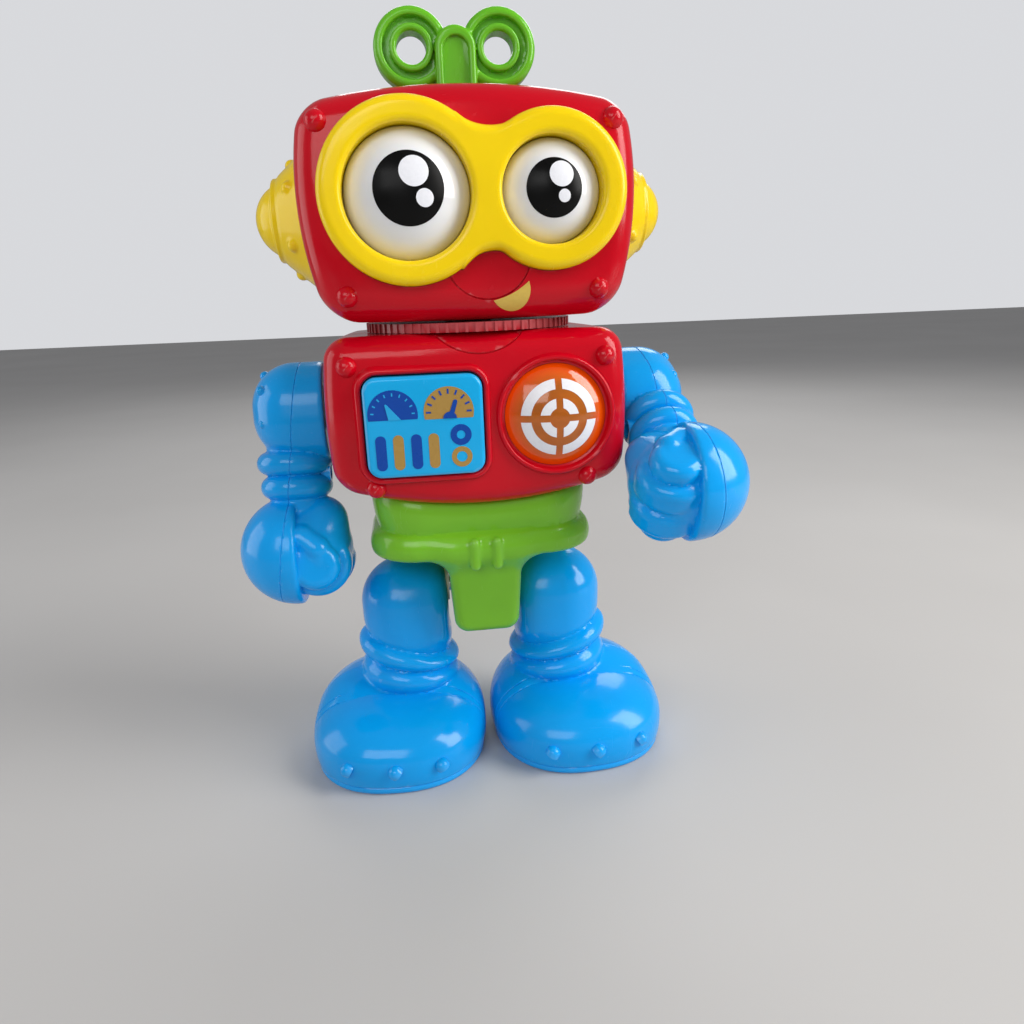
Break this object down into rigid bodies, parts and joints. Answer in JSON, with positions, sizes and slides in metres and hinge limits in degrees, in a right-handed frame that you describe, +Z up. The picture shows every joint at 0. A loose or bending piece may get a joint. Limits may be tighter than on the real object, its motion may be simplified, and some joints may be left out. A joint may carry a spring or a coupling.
{
  "type": "toy robot",
  "caption": "Free-standing toy robot with goggle eyes, winding key, turning head, swinging arms and legs, chest button and lit lens.",
  "frame": {"origin": "on the floor, below the middle of the robot's overall box; the neck, shoulder and hip axes lie 15.8 mm behind it", "axes": "+Z up along the height, the robot faces -Y, +X is the robot's own left side"},
  "size_m": [0.1908, 0.1104, 0.2869],
  "materials": {
    "red_plastic": "polished moulded",
    "dark_red_plastic": "polished moulded",
    "yellow_plastic": "polished moulded",
    "green_plastic": "polished moulded",
    "apple_green_plastic": "polished moulded",
    "blue_plastic": "polished moulded",
    "button_blue_plastic": "satin moulded with printed dials",
    "white_plastic": "polished moulded",
    "amber_lens": "clear tinted plastic",
    "ivory_plastic": "natural moulded",
    "black_plastic": "fine textured",
    "steel": "zinc plated",
    "board_green": "solder mask",
    "led_white": "clear moulded",
    "cone_paper": "pressed paper",
    "cell_wrap": "printed wrap",
    "contact_metal": "nickel plated",
    "wire_red": "vinyl"
  },
  "bodies": {
    "trunk": {"torso_front_shell": "red_plastic", "torso_rear_shell": "red_plastic", "neck_collar": "dark_red_plastic", "lens_dome": "amber_lens", "lens_leds": "led_white", "circuit_board": "board_green", "button_switch": "black_plastic", "button_spring": "steel", "speaker": "black_plastic", "speaker_cone": "cone_paper", "battery_tray": "black_plastic", "batteries": "cell_wrap", "battery_contacts": "contact_metal", "slide_switch": "black_plastic", "wires": "wire_red", "torso_screws": "steel", "pelvis_front_shell": "apple_green_plastic", "pelvis_rear_shell": "apple_green_plastic", "pelvis_screws": "steel", "hip_axle": "steel", "axle_clips": "black_plastic"},
    "head": {"head_front_shell": "red_plastic", "head_rear_shell": "red_plastic", "goggle_bezel": "yellow_plastic", "right_eye": "white_plastic", "left_eye": "white_plastic", "eye_plate": "ivory_plastic", "right_ear": "yellow_plastic", "left_ear": "yellow_plastic", "head_screws": "steel", "click_spring": "steel", "neck_post": "ivory_plastic", "neck_screw": "steel"},
    "key": {"winding_key": "green_plastic", "key_ratchet": "ivory_plastic", "key_screw": "steel"},
    "button": {"control_button": "button_blue_plastic"},
    "switch": {"switch_knob": "black_plastic"},
    "battery_cover": {"battery_door": "red_plastic", "door_screw": "steel"},
    "right_arm": {"right_arm_outer_shell": "blue_plastic", "right_arm_inner_shell": "blue_plastic", "right_shoulder_axle": "ivory_plastic", "right_arm_screws": "steel"},
    "right_leg": {"right_leg_front_shell": "blue_plastic", "right_leg_rear_shell": "blue_plastic", "right_sole": "blue_plastic", "right_hip_hub": "ivory_plastic", "right_leg_screws": "steel"},
    "left_arm": {"left_arm_outer_shell": "blue_plastic", "left_arm_inner_shell": "blue_plastic", "left_shoulder_axle": "ivory_plastic", "left_arm_screws": "steel"},
    "left_leg": {"left_leg_front_shell": "blue_plastic", "left_leg_rear_shell": "blue_plastic", "left_sole": "blue_plastic", "left_hip_hub": "ivory_plastic", "left_leg_screws": "steel"}
  },
  "joints": [
    {"name": "neck_turn", "type": "hinge", "parent": "trunk", "child": "head", "pos_m": [0, 0.0158, 0.1786], "axis": [0, 0, 1], "continuous": true},
    {"name": "key_turn", "type": "hinge", "parent": "head", "child": "key", "pos_m": [0, 0.0158, 0.255], "axis": [0, 0, 1], "continuous": true},
    {"name": "right_shoulder", "type": "hinge", "parent": "trunk", "child": "right_arm", "pos_m": [-0.057, 0.0158, 0.149], "axis": [-1, 0, 0], "range_deg": [-55, 95]},
    {"name": "left_shoulder", "type": "hinge", "parent": "trunk", "child": "left_arm", "pos_m": [0.057, 0.0158, 0.149], "axis": [-1, 0, 0], "range_deg": [-105, 45]},
    {"name": "right_hip", "type": "hinge", "parent": "trunk", "child": "right_leg", "pos_m": [-0.026, 0.0158, 0.07], "axis": [-1, 0, 0], "range_deg": [-35, 80]},
    {"name": "left_hip", "type": "hinge", "parent": "trunk", "child": "left_leg", "pos_m": [0.026, 0.0158, 0.07], "axis": [-1, 0, 0], "range_deg": [-35, 80]},
    {"name": "button_press", "type": "slide", "parent": "trunk", "child": "button", "axis": [0, 1, 0], "range_m": [0, 0.0018], "stiffness_N_per_m": 600, "springref_m": -0.0005, "deforming": ["button_spring"]},
    {"name": "power_slide", "type": "slide", "parent": "trunk", "child": "switch", "axis": [1, 0, 0], "range_m": [0, 0.004]},
    {"name": "battery_cover_lift", "type": "slide", "parent": "trunk", "child": "battery_cover", "axis": [0, 1, 0], "range_m": [0, 0.02]}
  ]
}
